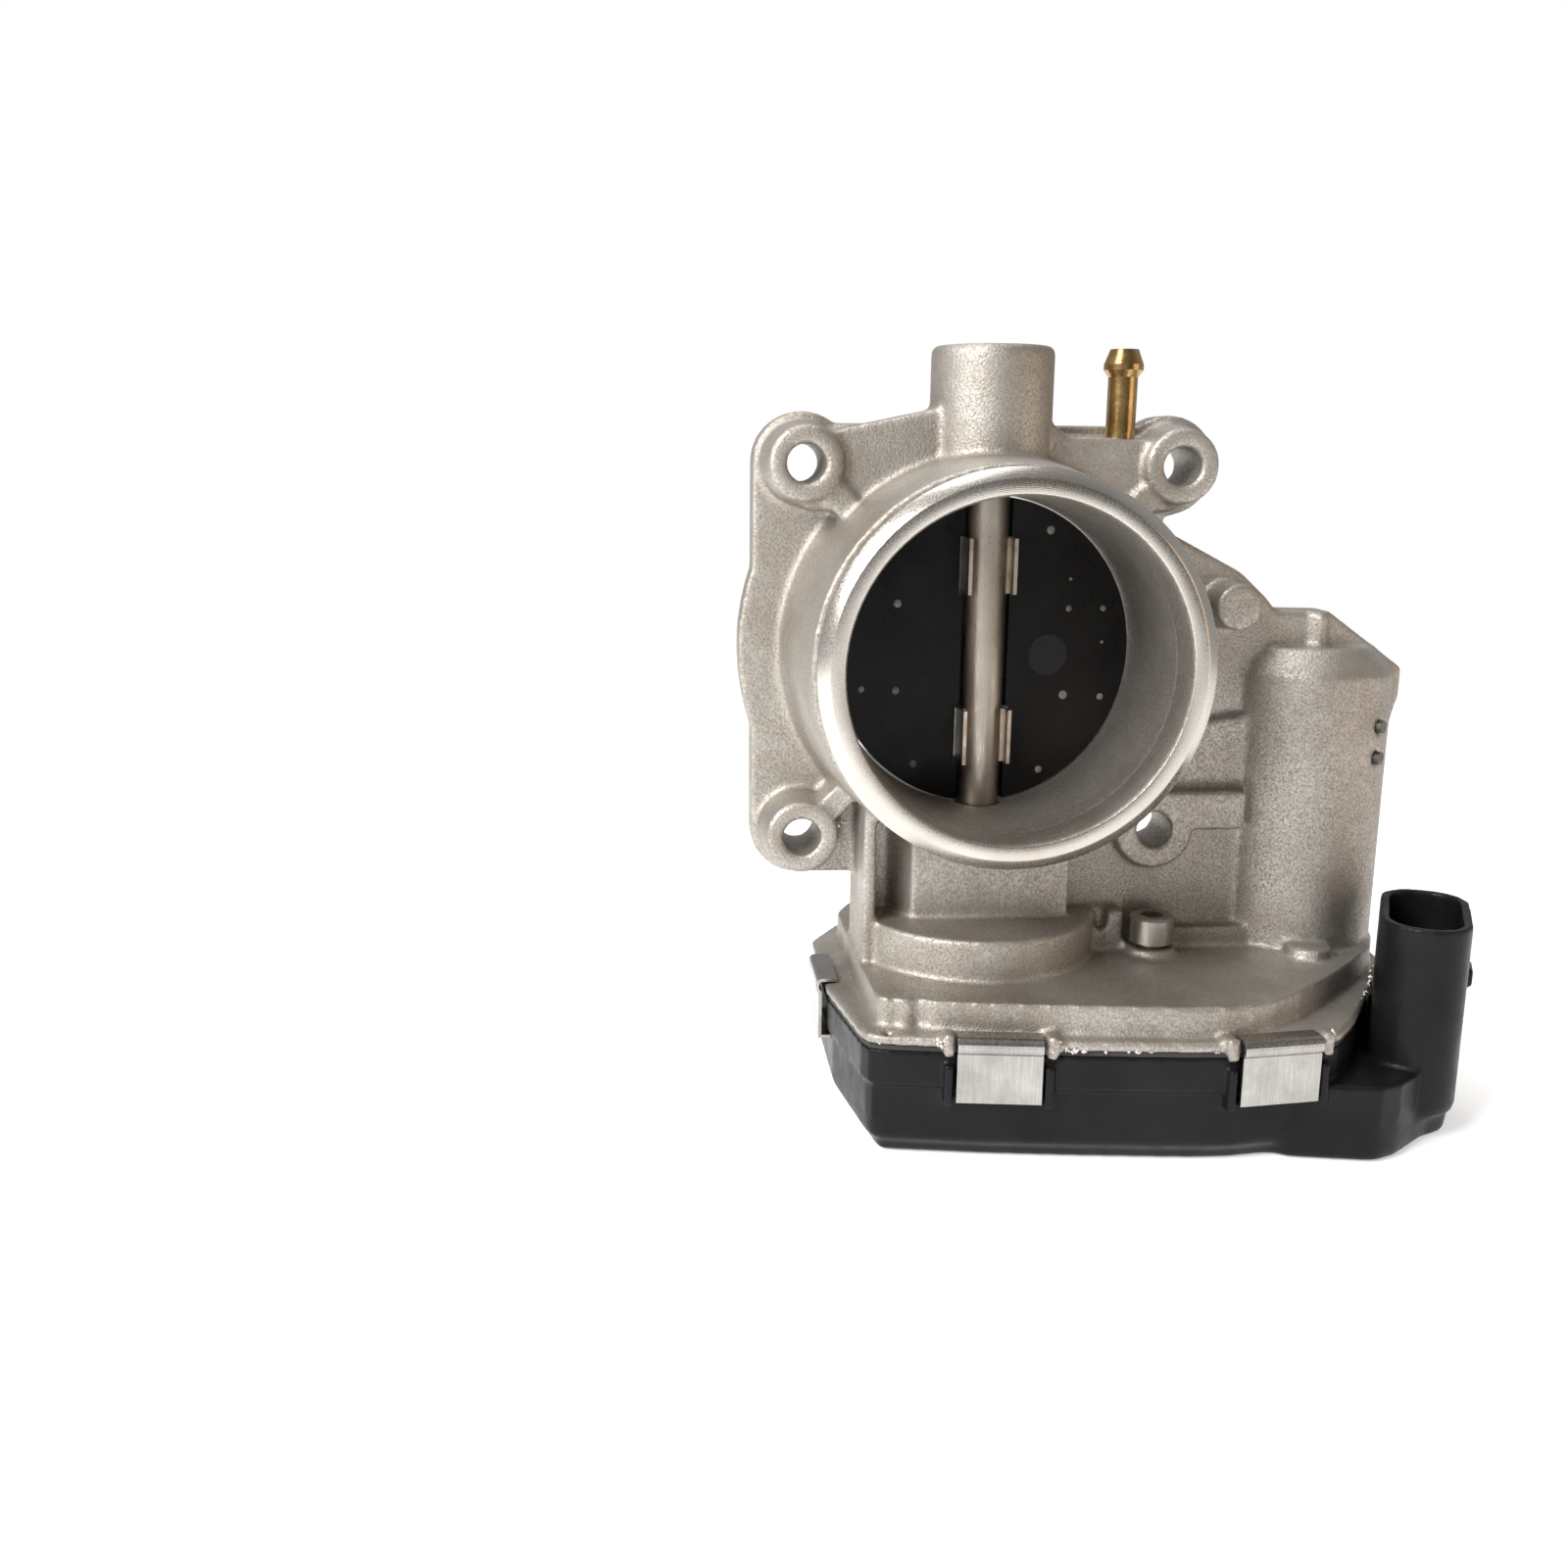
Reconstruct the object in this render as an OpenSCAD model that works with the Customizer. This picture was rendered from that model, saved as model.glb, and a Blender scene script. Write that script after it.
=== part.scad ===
// Electronic throttle body: cast housing, butterfly on a vertical shaft, motor
// and gear train under a clipped plastic cover. Millimetres, +Z up, the bore runs
// along Y with its mouth toward -Y, and y = 0 is the face that meets the manifold.

/* [Bore and inlet] */
// Bore diameter at the butterfly
bore_d = 57; // [40:0.5:80]
// How much wider the inlet mouth is than the bore
mouth_extra = 1.6; // [0:0.2:10]
// Wall of the machined hose collar at the mouth
collar_wall = 4.4; // [3:0.1:8]
// Distance from the shaft axis forward to the inlet face
inlet_len = 31.5; // [28:0.5:60]
// Distance from the manifold face forward to the shaft axis
shaft_to_flange = 9; // [6:0.5:20]
// Wall of the cast barrel where it meets the flange
barrel_wall = 9; // [6:0.5:14]

/* [Mounting flange] */
// Bolt spacing of the square hole pattern
bolt_span = 67.2; // [50:0.2:100]
// Diameter of the bolt holes
bolt_hole_d = 6.8; // [5:0.1:10]
// Flange thickness
flange_t = 7; // [5:0.5:12]
// Radius of the flange ears about each bolt hole
ear_r = 9; // [7:0.5:14]
// Length of the bolt bosses in front of the flange
boss_len = 9; // [4:0.5:20]

/* [Shaft and butterfly] */
// Shaft diameter
shaft_d = 8; // [6:0.25:12]
// Thickness of the butterfly disc
plate_t = 2.2; // [1.4:0.1:4]
// Gap between the disc edge and the bore
plate_gap = 0.35; // [0.3:0.05:1]
// Opening of the butterfly at rest, degrees
rest_angle = 7; // [0:0.5:12]
// Height of the upper shaft boss above the bore axis
stub_top = 54; // [44:1:80]
// Outer diameter of the upper shaft boss
stub_d = 21.8; // [19:0.5:34]

/* [Gear train] */
// Module of the sector gear and the small intermediate gear
sector_module = 1.0; // [0.8:0.05:1.4]
// Module of the large intermediate gear and the motor pinion
motor_module = 0.8; // [0.6:0.05:1.1]
// Direction of the intermediate pin seen from the shaft, degrees
pin_angle = -3; // [-15:1:15]
// Direction of the motor seen from the intermediate pin, degrees
motor_angle = 18.5; // [0:1:30]
// Thinning of each meshing tooth
tooth_thin = 0.2; // [0.1:0.02:0.4]

/* [Motor] */
// Diameter of the motor can
can_d = 27; // [22:0.5:36]
// Wall of the cast motor pocket
motor_wall = 2.6; // [2:0.25:5]
// Length of the motor can
can_len = 50; // [36:1:70]

/* [Gear case and cover] */
// Depth of the gear case roof below the bore axis
roof_drop = 57; // [52:1:80]
// Depth of the parting face between case and cover below the roof
case_depth = 7.2; // [5:0.5:14]
// Height of the cover below the parting face
cover_h = 21.3; // [18:0.1:30]
// Wall thickness of the cover
cover_wall = 2.2; // [1.6:0.1:4]
// Width of the steel retaining clips
clip_w = 14.6; // [10:0.2:22]

/* [Hidden] */
fine = 96;
small = 48;
run = 0.05;                       // radial running clearance of a shaft in its bearing
gap = 0.4;                        // clearance between neighbouring bodies
shaft_y = -shaft_to_flange;
bore_r = bore_d / 2;
mouth_r = bore_r + mouth_extra / 2;
collar_r = mouth_r + collar_wall;
barrel_r = bore_r + barrel_wall;
bolt_at = bolt_span / 2;
shaft_r = shaft_d / 2;
plate_r = bore_r - plate_gap;
stub_r = stub_d / 2;
bearing_wall = 2;
bearing_r = shaft_r + run + bearing_wall;
upper_low = barrel_r - 6;         // lower end of the upper bearing
upper_high = upper_low + 10;
roof_z = -roof_drop;
roof_t = 3;
part_z = roof_z - case_depth;     // parting face of case and cover
rim_t = 1.9;
gasket_t = 0.8;
cover_top = part_z - gasket_t;
floor_z = part_z - cover_h;
floor_in = floor_z + cover_wall;
boss_z = roof_z + 8;              // top of the round spring boss
lower_low = boss_z + 2.6;
lower_high = lower_low + 10;
sector_n = 56;
small_n = 16;
big_n = 61;
pinion_n = 16;
sector_r = sector_module * sector_n / 2;
small_r = sector_module * small_n / 2;
big_r = motor_module * big_n / 2;
pinion_r = motor_module * pinion_n / 2;
leg_one = sector_r + small_r;
leg_two = big_r + pinion_r;
pin_x = leg_one * cos(pin_angle);
pin_y = leg_one * sin(pin_angle);
motor_x = pin_x + leg_two * cos(motor_angle);
motor_y = pin_y + leg_two * sin(motor_angle);
can_r = can_d / 2;
pocket_r = can_r + 0.2;
housing_r = pocket_r + motor_wall;
plate_end = 2.4;                  // thickness of the motor end plate
plate_top = roof_z - roof_t;
can_low = roof_z - 1;
can_high = can_low + can_len;
spring_r = 19;
hub_r = 9;
sector_top = part_z - 4.6;        // sector teeth
sector_low = sector_top - 6;
big_top = part_z + 1;             // large intermediate gear
big_low = big_top - 5;
case_front = -sector_r - 4;       // front wall of the gear case at the shaft
case_rear = sector_r + 3.6;
case_left = -(spring_r + 3.6);

// frames ------------------------------------------------------------------
module at_shaft() { translate([0, shaft_y, 0]) children(); }
module at_pin() { at_shaft() translate([pin_x, pin_y, 0]) children(); }
module at_motor() { at_shaft() translate([motor_x, motor_y, 0]) children(); }
// local Z runs forward out of the inlet, local Y is up
module forward(y = 0) { translate([0, y, 0]) rotate([90, 0, 0]) children(); }
module rod(r, low, high, n = small) { translate([0, 0, low]) cylinder(r = r, h = high - low, $fn = n); }
module tube(r_out, r_in, low, high, n = small) {
  difference() {
    rod(r_out, low, high, n);
    rod(r_in, low - 1, high + 1, n);
  }
}
module slab(low, high) { translate([0, 0, low]) linear_extrude(high - low) children(); }
module corners(s) { for (x = [-s, s], z = [-s, s]) translate([x, z]) children(); }

// gear outlines -----------------------------------------------------------
function inv(a) = tan(a) * 180 / PI - a;
function half_tooth(r, m, n) =
  let (rp = m * n / 2, rb = rp * cos(20), a = acos(min(1, rb / max(r, rb))))
  90 / n - tooth_thin * 90 / (PI * rp) + inv(20) - inv(a);
function at(r, a) = [r * cos(a), r * sin(a)];
function tooth(m, n, c) =
  let (rp = m * n / 2, root = rp - 1.25 * m, tip = rp + 0.9 * m, rb = rp * cos(20),
       low = max(root + 0.05, rb), rs = [for (k = [0:3]) low + (tip - low) * k / 3])
  concat([at(root, c - half_tooth(low, m, n) - 20 / n)],
    [for (r = rs) at(r, c - half_tooth(r, m, n))],
    [for (k = [3:-1:0]) at(rs[k], c + half_tooth(rs[k], m, n))],
    [at(root, c + half_tooth(low, m, n) + 20 / n)]);
function gear_points(m, n, phase) =
  [for (i = [0:n - 1]) each tooth(m, n, phase + i * 360 / n)];
// phase that puts a gap of the second gear on a tooth of the first
function mesh_phase(dir, n_one, phase_one, n_two) =
  dir + 180 - (0.5 - (dir - phase_one) * n_one / 360) * 360 / n_two;
small_phase = mesh_phase(pin_angle, sector_n, 0, small_n);
big_phase = 0;
pinion_phase = mesh_phase(motor_angle, big_n, big_phase, pinion_n);

// flat outlines -----------------------------------------------------------
module flange_shape() {
  intersection() {
    circle(r = barrel_r + 7.5, $fn = fine);
    translate([-bolt_span, -bolt_at + 9]) square([bolt_span, bolt_span - 18]);
  }
  circle(r = barrel_r + 1.5, $fn = fine);
  translate([-bolt_at - ear_r, -bolt_at]) square([bolt_at + ear_r, bolt_span]);
  translate([-bolt_at, -bolt_at - ear_r]) square([bolt_span, bolt_span + 2 * ear_r - 2]);
  corners(bolt_at) circle(r = ear_r, $fn = small);
}
tower_dir = 64;
tower_x = motor_x + 14.6;
tower_y = motor_y - 27.9;
// plan outlines as [x, y, direction of the outward side], walked round from the left
case_line = [[case_left - 0.6, case_front + 26, 180], [case_left + 0.4, case_front + 5.4, 190],
  [case_left + 1.6, case_front + 4, 225], [case_left + 3.4, case_front + 3.3, 258],
  [-3.5, case_front + 0.2, 261], [13, case_front - 2, 263], [30, case_front - 4, 266],
  [pin_x + 1.6, case_front - 4.3, 272], [pin_x + 6, case_front - 3.8, 285], [pin_x + 10.4, case_front - 1.9, 298],
  [pin_x + 17.4, case_front + 3, 305], [tower_x - 17.8, tower_y - 1.4, 310],
  [tower_x - 9.6, tower_y + 6.8, 314], [tower_x - 2, tower_y + 15.4, 318],
  [motor_x + housing_r - 0.4, motor_y - 6, 335], [motor_x + housing_r + 0.6, motor_y + 3, 0],
  [motor_x + housing_r - 1.4, motor_y + 10, 20], [motor_x + 9, case_rear - 1.4, 60],
  [motor_x + 4, case_rear, 85], [case_left + 8, case_rear, 95], [case_left + 2, case_rear - 3, 135],
  [case_left - 0.6, case_rear - 9, 170]];
rim_line = [[case_left - 6, -7, 184], [case_left - 2.6, case_front + 3.6, 190],
  [case_left - 1.4, case_front + 0.9, 220], [case_left + 1.6, case_front - 0.3, 252],
  [-3.5, case_front - 3.2, 262], [13, case_front - 5.2, 264], [30, case_front - 6.9, 267],
  [pin_x + 3, case_front - 7.3, 272], [pin_x + 10.8, case_front - 6.3, 277.4],
  [pin_x + 19.4, case_front - 5.2, 290], [pin_x + 22.6, case_front - 3, 312],
  [tower_x - 15.2, tower_y - 7.8, 318], [tower_x - 5.8, tower_y + 7, 334],
  [tower_x - 1.5, tower_y + 15.6, 322], [motor_x + housing_r + 1.4, motor_y - 10.6, 335], [motor_x + housing_r + 3, motor_y + 2, 0],
  [motor_x + housing_r + 1.6, motor_y + 11, 25], [motor_x + 10, case_rear + 1.8, 65],
  [motor_x + 4, case_rear + 3.2, 88], [case_left + 8, case_rear + 3.2, 92],
  [case_left, case_rear - 0.6, 130], [case_left - 6, case_rear - 11, 170]];
function grown(line, g) = [for (p = line) [p[0] + g * cos(p[2]), p[1] + g * sin(p[2])]];
module case_shape(g) { polygon(grown(case_line, g)); }
module rim_shape(g) { polygon(grown(rim_line, g)); }
tower_len = 27.6;
tower_wid = 15.4;
tower_top = roof_z + 12;
tower_foot = part_z - 7;
module at_tower() { at_shaft() translate([tower_x, tower_y, 0]) rotate([0, 0, tower_dir]) children(); }
// rounded oblong, length along local X
module oblong(l, w, r) {
  square([l - 2 * r, w], center = true);
  square([l, w - 2 * r], center = true);
  for (x = [-1, 1], y = [-1, 1]) translate([x * (l / 2 - r), y * (w / 2 - r)]) circle(r = r, $fn = small);
}

// cast housing ------------------------------------------------------------
total_len = shaft_to_flange + inlet_len;
module barrel_solid() {
  forward() rotate_extrude($fn = fine) polygon([[0, 0], [barrel_r, 0], [barrel_r, flange_t],
    [barrel_r - 1.3, flange_t + 3], [collar_r + 0.4, total_len - 7],
    [collar_r - 1.1, total_len - 6.6], [collar_r - 1.1, total_len - 5],
    [collar_r - 0.3, total_len - 5], [collar_r - 0.3, total_len - 4.4],
    [collar_r - 1.1, total_len - 4.4], [collar_r - 1.1, total_len - 2.9],
    [collar_r, total_len - 2.9], [collar_r, total_len - 1.7],
    [collar_r - 2, total_len], [0, total_len]]);
  // small bridges across the hose groove
  for (a = [6, 38]) forward() rotate([0, 0, a]) translate([-0.7, collar_r - 2, total_len - 5])
    cube([1.4, 1.8, 3]);
}
module bore_cut() {
  forward() rotate_extrude($fn = fine) polygon([[0, -1], [bore_r, -1],
    [bore_r, shaft_to_flange + plate_r * 0.6], [mouth_r - 0.3, total_len - 0.8],
    [mouth_r, total_len], [mouth_r, total_len + 1], [0, total_len + 1]]);
}
module bolt_boss(x, z, len) {
  forward() translate([x, z, flange_t - 1]) cylinder(r1 = bolt_hole_d / 2 + 4.3,
    r2 = bolt_hole_d / 2 + 3.2, h = len + 1, $fn = small);
}
wall_front = shaft_y - 0.6;         // front of the wall below the barrel
seat_front = shaft_y - 4.2;       // face of the fourth bolt boss
seat_r = 7.4;
module web(points, front, back) {
  translate([0, back, 0]) rotate([90, 0, 0]) linear_extrude(back - front) polygon(points);
}
module lower_walls() {
  // rear wall between flange and gear case
  web([[case_left, roof_z - 1], [case_left, -bolt_at], [0, -20], [motor_x, -10],
    [motor_x, roof_z - 1]], shaft_y - 0.5, -0.01);
  // thin rib at the left edge
  translate([case_left, shaft_y - 10, roof_z - 1]) cube([2.4, shaft_to_flange + 10, -roof_z - bolt_at + 8]);
  // neck about the lower bearing, narrowing toward the front
  at_shaft() slab(roof_z - 1, -barrel_r + 12)
    polygon([[-18.5, 8], [-17.6, 2], [-13.3, -8.4], [16.3, -8.4], [16.3, 8]]);
  // wall right of the neck with its ledge
  translate([10, wall_front, roof_z - 1]) cube([motor_x - housing_r - 6, -wall_front, -roof_z + 1 - 26]);
  // boss of the fourth bolt with the ledge above it
  translate([bolt_at, 0, -bolt_at]) rotate([90, 0, 0]) cylinder(r = seat_r, h = -seat_front, $fn = small);
  translate([bolt_at, seat_front, -bolt_at]) cube([motor_x - housing_r + 2 - bolt_at, -seat_front - 1, seat_r]);
  translate([bolt_at + 4, wall_front - 3, roof_z - 1]) cube([motor_x - housing_r - bolt_at, 6, 4.9]);
}
module motor_pocket_solid() {
  at_motor() {
    rod(housing_r, roof_z - 1, can_high + 3.8, fine);
    translate([0, 0, can_high + 3.8]) cylinder(r1 = housing_r, r2 = housing_r - 4, h = 4.8, $fn = fine);
    // upright rounded rib in front of the slanted wall
    translate([-0.6, -6.6, 0]) rod(1.7, can_high + 6, can_high + 14.8, 32);
  }
  web([[24, -50], [24, bolt_at - 6], [bolt_at, bolt_at - 11.4], [motor_x - 16.4, 14.4],
    [motor_x - 11, 9.6], [motor_x - 9.2, 7.4], [motor_x + 1.2, 7.2], [motor_x + housing_r + 0.2, -3.6],
    [motor_x + housing_r + 0.2, -9], [motor_x + 3, -50]], shaft_y + 1, -0.8);
  // round boss beside the motor top
  forward(-0.8) translate([motor_x - 19.2, 8.6, 0]) cylinder(r = 4.3, h = shaft_to_flange + 6, $fn = small);
  // low pads over the motor screws
  at_motor() for (a = screw_dirs) rotate([0, 0, a]) translate([screw_ring - 0.6, 0, 0])
    rod(4.3, roof_z - 1, roof_z + 2.2);
}
module top_walls() {
  // front web from boss to boss across the shaft boss
  web([[-bolt_at, bolt_at - 8], [-bolt_at, bolt_at + 4.6], [-13, bolt_at + 9], [-8, bolt_at + 10],
    [8, bolt_at + 9], [13, bolt_at + 5], [bolt_at, bolt_at + 4.6], [bolt_at, bolt_at - 8],
    [0, 24]], shaft_y - 5, -1);
  // diagonal ribs from the bosses to the barrel
  for (a = [45, 135, 225]) forward(-1) rotate([0, 0, a]) translate([barrel_r - 3, -2.2, 0])
    cube([bolt_at * sqrt(2) - barrel_r, 4.4, flange_t + 7]);
}
module gear_case_solid() {
  at_shaft() {
    slab(part_z, roof_z) case_shape(0);
    slab(part_z, part_z + rim_t) rim_shape(0);
    rod(spring_r + 3.4, roof_z - 1, boss_z, fine);
    // notched block beside the screw
    translate([screw_x - 14, screw_y + 1, roof_z - 1]) cube([9, 5, 9]);
    // screw pad
    translate([screw_x, screw_y, 0]) rod(4.7, roof_z - 1, roof_z + 1.6);
    // lugs beside the front clips
    for (c = front_clips) at_clip(c) for (s = [-1, 1]) translate([s * (clip_w / 2 + 1.5) - 1, -1, 0]) {
      translate([0, 0, part_z - 1.4]) cube([2, 1, rim_t + 2.4]);
      translate([0, 0, part_z]) cube([2, 3.4, rim_t + 1]);
    }
  }
}
screw_x = 33.4;
screw_y = -6;
screw_r = 2.5;
// clips as [x, y, turn]: the middle of the rim's edge and the angle of the clip's face
front_clips = [[-1.9, case_front - 3.42, -7.2], [pin_x + 10.25, case_front - 6.45, 6.6]];
rear_clips = [[-6, case_rear + 3.2, 180], [42, case_rear + 3.2, 180]];
side_clips = [[case_left - 6, 2.3, -90]];
module at_clip(c) { translate([c[0], c[1], 0]) rotate([0, 0, c[2]]) children(); }
module bearing_cuts() {
  at_shaft() {
    rod(shaft_r + 0.35, lower_low - 1, upper_high + 1);
    rod(bearing_r, upper_low, stub_top + 1);
    rod(bearing_r + 1.5, stub_top - 3.6, stub_top + 1);
    rod(bearing_r, lower_low - 1, lower_high);
    rod(bearing_r + 1.5, boss_z - 4, lower_low);
    rod(spring_r + 0.5, plate_top - 1, boss_z - 3, fine);
  }
}
module throttle_housing() {
  color([0.72, 0.71, 0.69]) difference() {
    union() {
      barrel_solid();
      forward() linear_extrude(flange_t) flange_shape();
      for (c = [[-1, 1], [1, 1], [-1, -1]]) bolt_boss(c[0] * bolt_at, c[1] * bolt_at, boss_len);
      top_walls();
      at_shaft() {
        rod(stub_r, barrel_r - 6, stub_top - 0.8);
        translate([0, 0, stub_top - 0.8]) cylinder(r1 = stub_r, r2 = stub_r - 0.8, h = 0.8, $fn = small);
      }
      lower_walls();
      motor_pocket_solid();
      gear_case_solid();
    }
    bore_cut();
    bearing_cuts();
    forward() translate([0, 0, -1]) linear_extrude(total_len)
      corners(bolt_at) circle(d = bolt_hole_d, $fn = small);
    // room for the fourth bolt's head, open at the top
    translate([bolt_at, seat_front, -bolt_at]) rotate([90, 0, 0]) cylinder(r = seat_r, h = 20, $fn = small);
    // the boss is flush with the manifold face
    translate([-stub_r - 1, 0, 0]) cube([2 * stub_r + 2, 20, stub_top + 2]);
    // gear chamber and motor pocket
    at_shaft() {
      slab(part_z - 1, plate_top) case_shape(-2.2);
      translate([screw_x, screw_y, 0]) rod(screw_r, roof_z - 0.3, roof_z + 4);
      translate([screw_x - 10.6, screw_y, roof_z + 4]) cube([2.4, 4, 6]);
      // two upright grooves in the front wall, and the rim hole below them
      for (q = [[-19.4, -1.6], [-15.2, -1.9]]) translate([q[0], case_front + 3.7 + q[1], 0])
        rod(1.7, part_z + rim_t, roof_z + 1, 32);
      translate([-20.6, case_front + 1.3, 0]) rod(0.9, part_z - 1, part_z + rim_t + 1, 32);
    }
    at_shaft() for (c = clips) at_clip(c)
      translate([-clip_w / 2 - 0.3, -3, part_z + clip_seat]) cube([clip_w + 0.6, 5.8 + 0.2, rim_t - clip_seat + 0.01]);
    at_pin() rod(2.5, plate_top - 1, roof_z - 0.6);
    at_motor() {
      rod(pocket_r, plate_top - 1, can_high + 0.6, fine);
      rod(7.2, can_high, can_high + 8);
      for (a = screw_dirs) rotate([0, 0, a]) translate([screw_ring, 0, 0]) rod(1.5, plate_top - 1, roof_z + 1.2, 32);
    }
    // side pin holes in the motor pocket wall
    side_pin_frames() rotate([0, 90, 0]) translate([0, 0, -1.6]) cylinder(r = 1.2, h = 5, $fn = 32);
    // hose nipple hole
    at_nipple() rod(2.6, bolt_at - 1, bolt_at + 20, 32);
  }
}
screw_dirs = [motor_angle + 72, motor_angle - 116];
screw_ring = pocket_r + 4.6;
side_dir = -52;
module side_pin_frames() {
  at_motor() rotate([0, 0, side_dir]) for (z = [-13.8, -19.8])
    translate([housing_r - 0.9, 0, z]) children();
}
nipple_x = 23.5;
module at_nipple() { translate([nipple_x, shaft_y - 1, 0]) children(); }

// fixed parts in the housing ----------------------------------------------
module upper_bearing() {
  color([0.6, 0.6, 0.62]) at_shaft() tube(bearing_r, shaft_r + run, upper_low + 0.05, upper_high);
}
module lower_bearing() {
  color([0.6, 0.6, 0.62]) at_shaft() tube(bearing_r, shaft_r + run, lower_low + 0.3, lower_high - 0.05);
}
module upper_plug() {
  color([0.66, 0.66, 0.68]) at_shaft() difference() {
    rod(bearing_r + 1.5, stub_top - 3.6, stub_top - 0.5);
    rod(bearing_r + 0.7, stub_top - 2.7, stub_top);
  }
}
module shaft_seal() {
  color([0.1, 0.1, 0.1]) at_shaft() difference() {
    tube(bearing_r + 1.5, shaft_r + run, boss_z - 2.6, lower_low);
    translate([0, 0, boss_z - 3]) tube(bearing_r + 0.4, shaft_r + 1, 0, 1.2);
  }
}
module hose_nipple() {
  color([0.72, 0.52, 0.2]) at_nipple() difference() {
    rotate_extrude($fn = small) polygon([[0, bolt_at - 0.6], [2.6, bolt_at - 0.6], [2.6, bolt_at + 15.4],
      [2.6, bolt_at + 15.4], [3.5, bolt_at + 16.6], [3.5, bolt_at + 17.6], [2.5, bolt_at + 20.2], [0, bolt_at + 20.2]]);
    rod(1.5, bolt_at - 2, bolt_at + 21, 32);
  }
}
module motor_can() {
  color([0.55, 0.56, 0.58]) at_motor() difference() {
    union() {
      rod(can_r, can_low, can_high, fine);
      rod(6.6, can_high - 1, can_high + 6);
    }
    rod(can_r - 1.5, can_low - 1, can_high - 1.5, fine);
    rod(shaft2_r + run, can_high - 2, can_high + 4.6, 32);
  }
}
shaft2_r = 1.6;                   // motor shaft radius
magnet_low = can_low + 12;
magnet_high = can_high - 8;
module motor_magnets() {
  color([0.2, 0.2, 0.22]) at_motor() difference() {
    tube(can_r - 1.5, can_r - 4.6, magnet_low, magnet_high, fine);
    for (a = [0, 180]) rotate([0, 0, a]) translate([0, -4, magnet_low - 1]) cube([can_r, 8, can_len]);
  }
}
module motor_end_plate() {
  color([0.2, 0.2, 0.21]) at_motor() difference() {
    union() {
      rod(can_r + 0.3, plate_top - plate_end + 0.4, plate_top);
      rod(can_r - 1.6, plate_top - 0.5, can_low + 6.4);
      slab(plate_top - plate_end + 0.4, plate_top) for (a = screw_dirs) rotate([0, 0, a]) {
        translate([screw_ring, 0]) circle(r = 3, $fn = 32);
        translate([can_r - 2, -3]) square([screw_ring - can_r + 2, 6]);
      }
    }
    rod(shaft2_r + run, plate_top - plate_end, can_low + 7, 32);
    rod(can_r - 5, can_low - 0.4, can_low + 7);
    for (a = screw_dirs) rotate([0, 0, a]) translate([screw_ring, 0, 0]) rod(1.7, plate_top - 5, plate_top + 1, 32);
    terminal_shape();
  }
}
module motor_brushes() {
  color([0.25, 0.22, 0.2]) at_motor() for (a = [0, 180]) rotate([0, 0, a + 60])
    translate([comm_r + 0.3, -2.2, can_low + 1.6]) cube([brush_end - comm_r - 0.3, 4.4, 4.4]);
}
comm_r = can_r * 0.37;
brush_end = sqrt(pow(can_r - 5.1, 2) - 4.84);
comm_low = can_low + 1.4;
module motor_terminals() {
  color([0.8, 0.66, 0.35]) at_motor() terminal_shape();
}
module terminal_shape() {
  for (s = [-1, 1]) rotate([0, 0, motor_angle - 92]) translate([can_r - 4.4, s * 3.4 - 1.2, floor_in + board_t])
    cube([0.8, 2.4, can_low + 4 - floor_in - board_t]);
}
module motor_screws() {
  color([0.62, 0.62, 0.64]) at_motor() for (a = screw_dirs) rotate([0, 0, a]) translate([screw_ring, 0, 0]) {
    rod(1.5, plate_top - plate_end + 0.2, roof_z + 1, 32);
    difference() {
      rod(2.6, plate_top - plate_end - 1.2, plate_top - plate_end + 0.4, 32);
      translate([0, 0, plate_top - plate_end - 2]) cylinder(r = 1.2, h = 1.6, $fn = 6);
    }
  }
}
module cap_screw() {
  color([0.6, 0.59, 0.57]) at_shaft() translate([screw_x, screw_y, 0]) difference() {
    union() {
      rod(screw_r, roof_z - 0.3, roof_z + 3);
      rod(4.25, roof_z + 2.4, roof_z + 7, small);
      translate([0, 0, roof_z + 7]) cylinder(r1 = 4.25, r2 = 3.8, h = 0.45, $fn = small);
    }
    translate([0, 0, roof_z + 4.8]) cylinder(r = 2.3, h = 4, $fn = 6);
  }
}
module side_pins() {
  color([0.5, 0.49, 0.47]) side_pin_frames() rotate([0, 90, 0]) translate([0, 0, -1.5])
    cylinder(r = 1.2, h = 3.2, $fn = 32);
}
module intermediate_pin() {
  color([0.7, 0.7, 0.72]) at_pin() rod(2.5, floor_in + 1, roof_z - 0.6);
}
module cover_gasket() {
  color([0.08, 0.08, 0.08]) at_shaft() slab(part_z - gasket_t, part_z) difference() {
    rim_shape(-0.5);
    rim_shape(-2.4);
  }
}

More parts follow.
